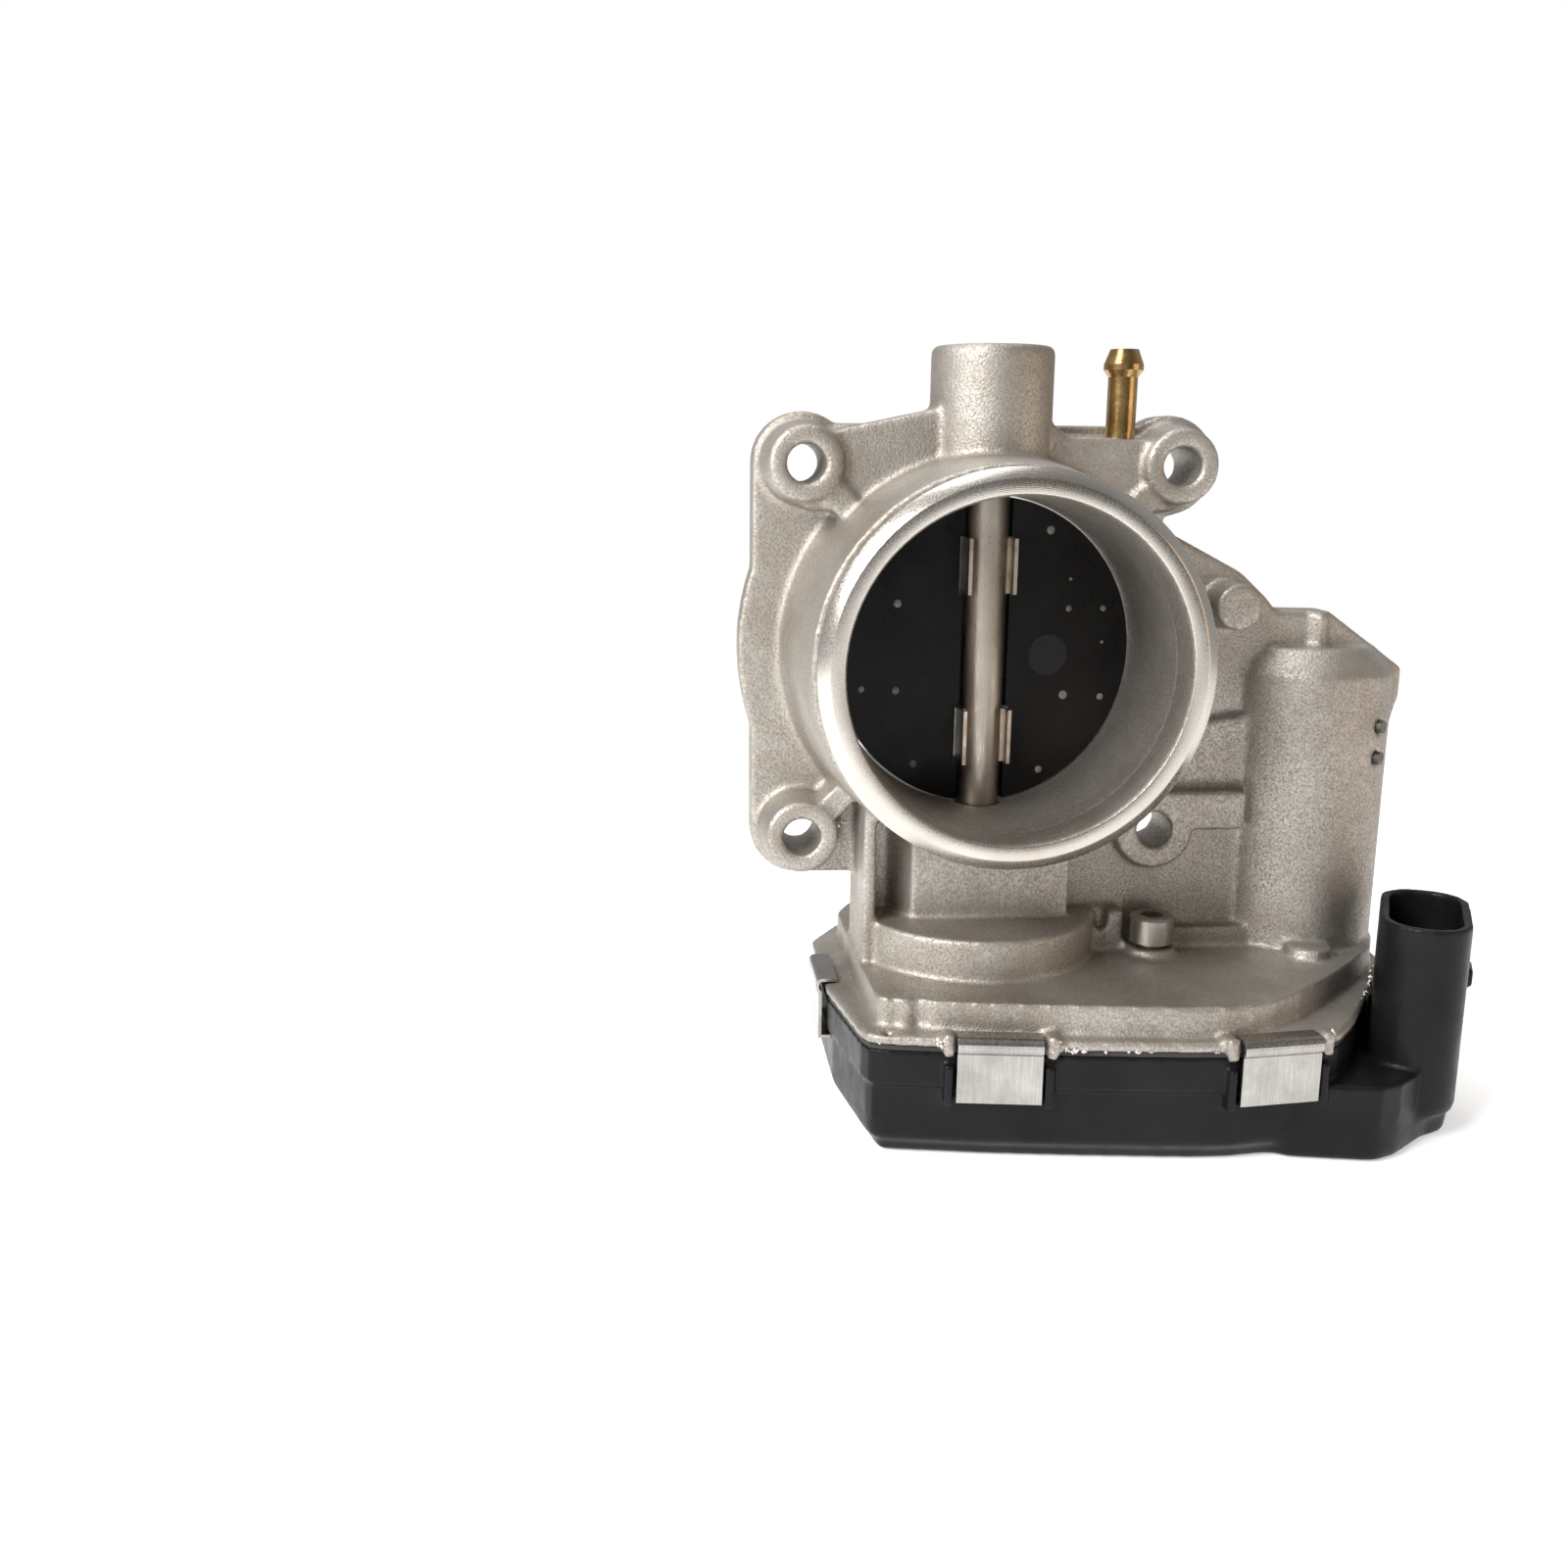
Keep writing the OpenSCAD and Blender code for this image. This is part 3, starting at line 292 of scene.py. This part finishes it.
def clearRoom(ob, look):
    # takes the round room of the collar out of the casting, because the collar is a piece of its own
    room = bmesh.new()
    bmesh.ops.create_cone(room, cap_ends=True, segments=roomLook["sides"], radius1=look["collarRadius"] * mm,
                          radius2=look["collarRadius"] * mm, depth=roomLook["depth"] * mm)
    middle = (look["collarFrom"] - roomLook["depth"] / 2) * mm
    bmesh.ops.transform(room, verts=room.verts,
                        matrix=Matrix.Translation((0, middle, 0)) @ Matrix.Rotation(math.pi / 2, 4, "X"))
    mesh = bpy.data.meshes.new("collarRoom")
    room.to_mesh(mesh)
    room.free()
    cutter = bpy.data.objects.new("collarRoom", mesh)
    bpy.context.scene.collection.objects.link(cutter)
    away = ob.modifiers.new("collar", "BOOLEAN")
    away.operation = "DIFFERENCE"
    away.object = cutter
    away.solver = "EXACT"
    settled(ob)
    bpy.data.objects.remove(cutter)


def roundEdges(ob, look):
    # small voxels and a short smoothing round every edge as a mould does
    voxel = ob.modifiers.new("voxels", "REMESH")
    voxel.mode = "VOXEL"
    voxel.voxel_size = look["voxel"] * mm
    relax = ob.modifiers.new("relax", "SMOOTH")
    relax.factor = 0.5
    relax.iterations = look["relax"]
    settled(ob)
    if "roundBelow" in look:  # the underside is round over a wider band
        low = ob.vertex_groups.new(name="underside")
        low.add([v.index for v in ob.data.vertices if v.co.z < look["roundBelow"] * mm], 1.0, "REPLACE")
        worn = ob.modifiers.new("worn", "SMOOTH")
        worn.factor = 0.5
        worn.iterations = look["roundSteps"]
        worn.vertex_group = low.name
        settled(ob)
    triangles = len(ob.data.polygons) * 2
    if triangles > look["most"]:
        thin = ob.modifiers.new("thin", "DECIMATE")
        thin.ratio = look["most"] / triangles
        settled(ob)


def softened(node, name, body, finish, look):
    # a merged copy of the drawn solid with its edges rounded, which stands for the node
    bm = bmesh.new()
    bm.from_mesh(nodes[node].data)
    bmesh.ops.remove_doubles(bm, verts=bm.verts, dist=roomLook["merge"] * mm)
    ob = link(name, bm, body, finish)
    if "collarFrom" in look:
        clearRoom(ob, look)
    roundEdges(ob, look)
    dress(ob, finish)
    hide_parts(node)
    print(name, len(ob.data.polygons), "faces")


# the castings: voxel width, smoothing steps and the most triangles kept
housingLook = {"voxel": 0.62, "relax": 4, "most": 190000, "collarFrom": -33.5, "collarRadius": 36}
softened("throttle_housing", "cast_housing", "housing", "castAluminium", housingLook)
coverLook = {"voxel": 0.45, "relax": 4, "most": 150000, "roundBelow": -78.5, "roundSteps": 90}
softened("gear_cover", "moulded_cover", "housing", "blackCover", coverLook)


# the machined collar: radii, where the mouth and the bore start, and the steps along it from the mouth
collarLook = {"mouth": -40.5, "outer": 33.7, "inner": 29.3, "bore": 28.5, "boreAt": -25.9, "leadIn": 2,
              "leadLong": 1.7, "beadEnd": 2.9, "landStart": 4.4, "landEnd": 5, "grooveDeep": 1.1,
              "landDeep": 0.3, "length": 7.4, "lipDeep": 0.3, "lipLong": 0.8, "proud": 0.05,
              "steps": 180, "edge": 0.16, "sharp": 0.45, "inward": 0.6}


def collarProfile(look):
    # closed outline as (radius, y)
    mouth, outer, inner = look["mouth"], look["outer"], look["inner"]
    groove, land, lip = outer - look["grooveDeep"], outer - look["landDeep"], inner - look["lipDeep"]
    taper = (lip - look["bore"]) / (look["boreAt"] - mouth - look["lipLong"])
    backInner = lip - taper * (look["length"] - look["lipLong"])
    outside = [(outer - look["leadIn"], 0), (outer, look["leadLong"]), (outer, look["beadEnd"]),
               (groove, look["beadEnd"]), (groove, look["landStart"]), (land, look["landStart"]),
               (land, look["landEnd"]), (groove, look["landEnd"]), (groove, look["length"])]
    inside = [(backInner - look["proud"], look["length"]), (lip - look["proud"], look["lipLong"])]
    return [(radius, mouth + along) for radius, along in [(inner, 0)] + outside + inside]


def machinedCollar(look):
    bm = bmesh.new()
    verts = [bm.verts.new((radius * mm, y * mm, 0)) for radius, y in collarProfile(look)]
    edges = [bm.edges.new((verts[i], verts[(i + 1) % len(verts)])) for i in range(len(verts))]
    bmesh.ops.spin(bm, geom=verts + edges, cent=(0, 0, 0), axis=(0, 1, 0), angle=2 * math.pi,
                   steps=look["steps"], use_merge=True)
    bmesh.ops.remove_doubles(bm, verts=bm.verts, dist=0.001 * mm)
    bmesh.ops.bevel(bm, geom=[e for e in bm.edges if e.calc_face_angle(0) > look["sharp"]],
                    offset=look["edge"] * mm, offset_type="OFFSET", affect="EDGES", segments=2,
                    profile=0.5, material=-1)
    ob = link("machined_collar", bm, "housing", "machinedAluminium")
    ob.data.materials.append(made["castAluminium"])
    for face in ob.data.polygons:
        outward = Vector((face.center.x, 0, face.center.z))
        if face.normal.dot(outward) < -look["inward"] * outward.length:  # the wall that looks at the axis
            face.material_index = 1


machinedCollar(collarLook)
print("collar made")


# crumbs of flash left along the parting lines; each line is its two ends, how many, and how wide they spread
crumbLook = {"seed": 11, "small": 0.18, "large": 0.5, "squash": (0.5, 1.5), "lines": [
    ((7, -45.6, -63.9), (36, -47.0, -63.9), 34, 0.25),
    ((-13, -43.4, -63.6), (-10.4, -43.8, -62.0), 10, 0.4),
    ((6.2, -45.9, -63.9), (8.4, -46.1, -62.2), 9, 0.4),
    ((36.6, -47.3, -64.6), (38.4, -47.2, -62.2), 12, 0.45),
    ((54.6, -45.4, -64.2), (56.6, -45.0, -62.0), 10, 0.4),
    ((-24.8, -36.4, -63.8), (-21.5, -41.4, -63.8), 8, 0.2),
    ((60.5, -40.9, -63.4), (73.4, -22.6, -62.6), 26, 0.3),
    ((74.5, -21.2, -62.6), (79.5, -12.6, -61.5), 16, 0.35),
    ((-27.5, -9.2, 33.6), (-25.4, -11.6, 31.4), 9, 0.4),
    ((-27.2, -9.2, -33.2), (-25.4, -11.6, -31.4), 9, 0.4)]}
dice = random.Random(crumbLook["seed"])
bm = bmesh.new()
for start, end, count, wide in crumbLook["lines"]:
    for k in range(count):
        spot = Vector(start).lerp(Vector(end), dice.random())
        spot += Vector([dice.uniform(-wide, wide) for axis in range(3)])
        radius = dice.uniform(crumbLook["small"], crumbLook["large"])
        crumb = bmesh.ops.create_icosphere(bm, subdivisions=2, radius=radius * mm)["verts"]
        bmesh.ops.scale(bm, vec=[dice.uniform(*crumbLook["squash"]) for axis in range(3)], verts=crumb)
        bmesh.ops.translate(bm, vec=spot * mm, verts=crumb)
crumbs = link("flash_crumbs", bm, "housing", "brightFlash")
print("crumbs made")


# moulded marks on the butterfly: across and up in its own plane, and the radius
markLook = {"places": [(12.0, 22.0, 0.8), (-16.7, 8.9, 0.75), (16.2, 7.65, 0.6), (23.0, 7.6, 0.6),
                       (16.3, 13.1, 0.35), (23.1, 1.35, 0.35), (-23.2, -6.6, 0.65), (-16.7, -7.0, 0.75),
                       (15.9, -8.5, 0.85), (23.3, -9.0, 0.65), (-13.0, -20.8, 0.75), (11.7, -22.6, 0.7)],
            "face": 1.1, "proud": 0.28}
discLook = {"across": 12.4, "up": -0.9, "radius": 3.9, "chamfer": 0.1, "proud": 0.12}
onPlate = Matrix.Translation((0, shaftY, 0)) @ Matrix.Rotation(restTurn, 4, "Z")
bm = bmesh.new()
for across, up, radius in markLook["places"]:
    dome = bmesh.ops.create_uvsphere(bm, u_segments=20, v_segments=12, radius=radius * mm)["verts"]
    bmesh.ops.scale(bm, vec=(1, markLook["proud"] / radius, 1), verts=dome)
    bmesh.ops.translate(bm, vec=(across * mm, -markLook["face"] * mm, up * mm), verts=dome)
bmesh.ops.transform(bm, verts=bm.verts, matrix=onPlate)
marks = link("plate_marks", bm, "butterfly", "moulderMark")
bm = bmesh.new()
bmesh.ops.create_cone(bm, cap_ends=True, segments=64, radius1=discLook["radius"] * mm,
                      radius2=(discLook["radius"] - discLook["chamfer"]) * mm,
                      depth=2 * discLook["proud"] * mm)
place = Matrix.Translation((discLook["across"] * mm, -markLook["face"] * mm, discLook["up"] * mm))
bmesh.ops.transform(bm, verts=bm.verts, matrix=onPlate @ place @ Matrix.Rotation(math.pi / 2, 4, "X"))
disc = link("plate_disc", bm, "butterfly", "markPlastic", smooth=False)
print("marks made")


# retaining clips: middle of the rim's edge from the shaft, and the turn of the face
clipLook = {"places": [(-1.9, -35.42, -7.2), (46.2, -38.45, 6.6), (-6, 34.8, 180), (42, 34.8, 180),
                       (-28.6, 2.3, -90)],
            "width": 14.6, "thick": 0.6, "low": -72.8, "seat": -62.8, "leg": 1.9, "deep": 2.2, "roll": 0.95,
            "bulge": 0.6, "gap": 0.05, "over": 0.02, "ease": 0.5, "edge": 0.12}
beadLook = {"radius": 1.5, "shape": (1, 0.3, 0.28), "tilts": (-0.7, 0.7), "sunk": 0.05}


def clipOutline(look):
    # from the foot, up the face, over the rolled top, as (y, z)
    face, high = -look["thick"] - look["gap"], look["seat"] + look["thick"] + look["over"]
    roll, bulge, ease = look["roll"], look["bulge"], look["ease"]
    rolled = [(face - bulge * math.sin(a), high - roll - roll * math.cos(a))
              for a in [k * math.pi / 8 for k in range(9)]]
    return ([(look["leg"] - look["thick"], look["low"]), (face, look["low"]), (face, high - 2 * roll - ease)]
            + rolled + [(face + ease, high), (look["deep"], high)])


def clipStrip(bm, look, place):
    verts = [bm.verts.new((-look["width"] / 2 * mm, y * mm, z * mm)) for y, z in clipOutline(look)]
    edges = [bm.edges.new(pair) for pair in zip(verts, verts[1:])]
    pulled = bmesh.ops.extrude_edge_only(bm, edges=edges)["geom"]
    across = [v for v in pulled if isinstance(v, bmesh.types.BMVert)]
    bmesh.ops.translate(bm, vec=(look["width"] * mm, 0, 0), verts=across)
    faces = [f for f in pulled if isinstance(f, bmesh.types.BMFace)]
    wall = bmesh.ops.solidify(bm, geom=faces, thickness=-look["thick"] * mm)["geom"]
    front = -look["thick"] - look["gap"] - look["bulge"] - beadLook["sunk"]
    middle = look["seat"] + look["thick"] + look["over"] - look["roll"]
    beads = []
    for tilt in beadLook["tilts"]:  # a small crossed emboss on the roll
        bead = bmesh.ops.create_uvsphere(bm, u_segments=16, v_segments=10,
                                         radius=beadLook["radius"] * mm)["verts"]
        bmesh.ops.scale(bm, vec=beadLook["shape"], verts=bead)
        bmesh.ops.rotate(bm, cent=(0, 0, 0), matrix=Matrix.Rotation(tilt, 3, "Y"), verts=bead)
        bmesh.ops.translate(bm, vec=(0, front * mm, middle * mm), verts=bead)
        beads += bead
    strip = set(verts) | set(across) | set(beads) | {v for v in wall if isinstance(v, bmesh.types.BMVert)}
    x, y, turn = place
    put = Matrix.Translation((x * mm, shaftY + y * mm, 0)) @ Matrix.Rotation(math.radians(turn), 4, "Z")
    bmesh.ops.transform(bm, verts=list(strip), matrix=put)


bm = bmesh.new()
for place in clipLook["places"]:
    clipStrip(bm, clipLook, place)
clips = link("steel_clips", bm, "housing", "stainlessClip", smooth=False)
edgeRound = clips.modifiers.new("edges", "BEVEL")
edgeRound.width = clipLook["edge"] * mm
edgeRound.segments = 2
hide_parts("cover_clips")
print("clips made")


# the floor, the surroundings and the lights
floorLook = {"height": -85.6, "radius": 0.75, "color": (0.90, 0.90, 0.90), "cloud": (0.93, 0.93, 0.93),
             "cloudSize": 60, "rough": 0.9, "glow": 0.5}
bm = bmesh.new()
bmesh.ops.create_circle(bm, cap_ends=True, segments=96, radius=floorLook["radius"])
bmesh.ops.translate(bm, vec=(0, 0, floorLook["height"] * mm), verts=bm.verts)
mesh = bpy.data.meshes.new("floor")
bm.to_mesh(mesh)
bm.free()
floor = bpy.data.objects.new("floor", mesh)
bpy.context.scene.collection.objects.link(floor)
mat, tree, shader, coord = startMaterial("paleFloor")
cloud = noise(tree, coord, floorLook["cloudSize"], 3)
tree.links.new(mixColor(tree, cloud, floorLook["color"], floorLook["cloud"]), shader.inputs["Base Color"])
shader.inputs["Roughness"].default_value = floorLook["rough"]
shader.inputs["Emission Color"].default_value = (1, 1, 1, 1)
shader.inputs["Emission Strength"].default_value = floorLook["glow"]
floor.data.materials.append(mat)

# pale walls that darken towards the front and the right, seen only in reflections and as fill light
roomLight = {"wall": (0.40, 0.40, 0.40), "shade": (0.022, 0.016, 0.012), "seen": (1.0, 1.0, 1.0),
             "front": (-0.75, 0.1, 1, 0), "side": (-0.5, 0.8, 0.25, 1), "strength": 1.0}
world = bpy.data.worlds.new("studio")
bpy.context.scene.world = world
world.use_nodes = True
tree = world.node_tree
back = next(n for n in tree.nodes if n.type == "BACKGROUND")
coord = tree.nodes.new("ShaderNodeTexCoord").outputs["Generated"]
both = tree.nodes.new("ShaderNodeMath")
both.operation = "MULTIPLY"
tree.links.new(spread(tree, axisPart(tree, coord, "Y"), *roomLight["front"]), both.inputs[0])
tree.links.new(spread(tree, axisPart(tree, coord, "X"), *roomLight["side"]), both.inputs[1])
walls = mixColor(tree, both.outputs[0], roomLight["wall"], roomLight["shade"])
seen = tree.nodes.new("ShaderNodeLightPath").outputs["Is Camera Ray"]
tree.links.new(mixColor(tree, seen, walls, roomLight["seen"]), back.inputs["Color"])
back.inputs["Strength"].default_value = roomLight["strength"]

# soft lights: place and aim in metres
lights = {"keyLight": {"place": (-0.55, -0.45, 0.45), "aim": (0, 0, 0), "size": 0.35, "power": 9.5,
                       "color": (1.0, 0.985, 0.96)},
          "topLight": {"place": (-0.1, 0.1, 0.8), "aim": (0, 0, 0), "size": 0.5, "power": 3.2,
                       "color": (1.0, 1.0, 1.0)},
          "warmFill": {"place": (0.6, -0.35, 0.1), "aim": (0.04, 0, 0), "size": 0.4, "power": 0.7,
                       "color": (1.0, 0.74, 0.52)}}


def softLight(name, look):
    data = bpy.data.lights.new(name, "AREA")
    data.shape = "SQUARE"
    data.size = look["size"]
    data.energy = look["power"]
    data.color = look["color"]
    ob = bpy.data.objects.new(name, data)
    ob.location = look["place"]
    ob.rotation_euler = (Vector(look["aim"]) - Vector(look["place"])).to_track_quat("-Z", "Y").to_euler()
    bpy.context.scene.collection.objects.link(ob)


for name, look in lights.items():
    softLight(name, look)
bpy.context.scene.view_settings.view_transform = "Standard"
print("stage made")
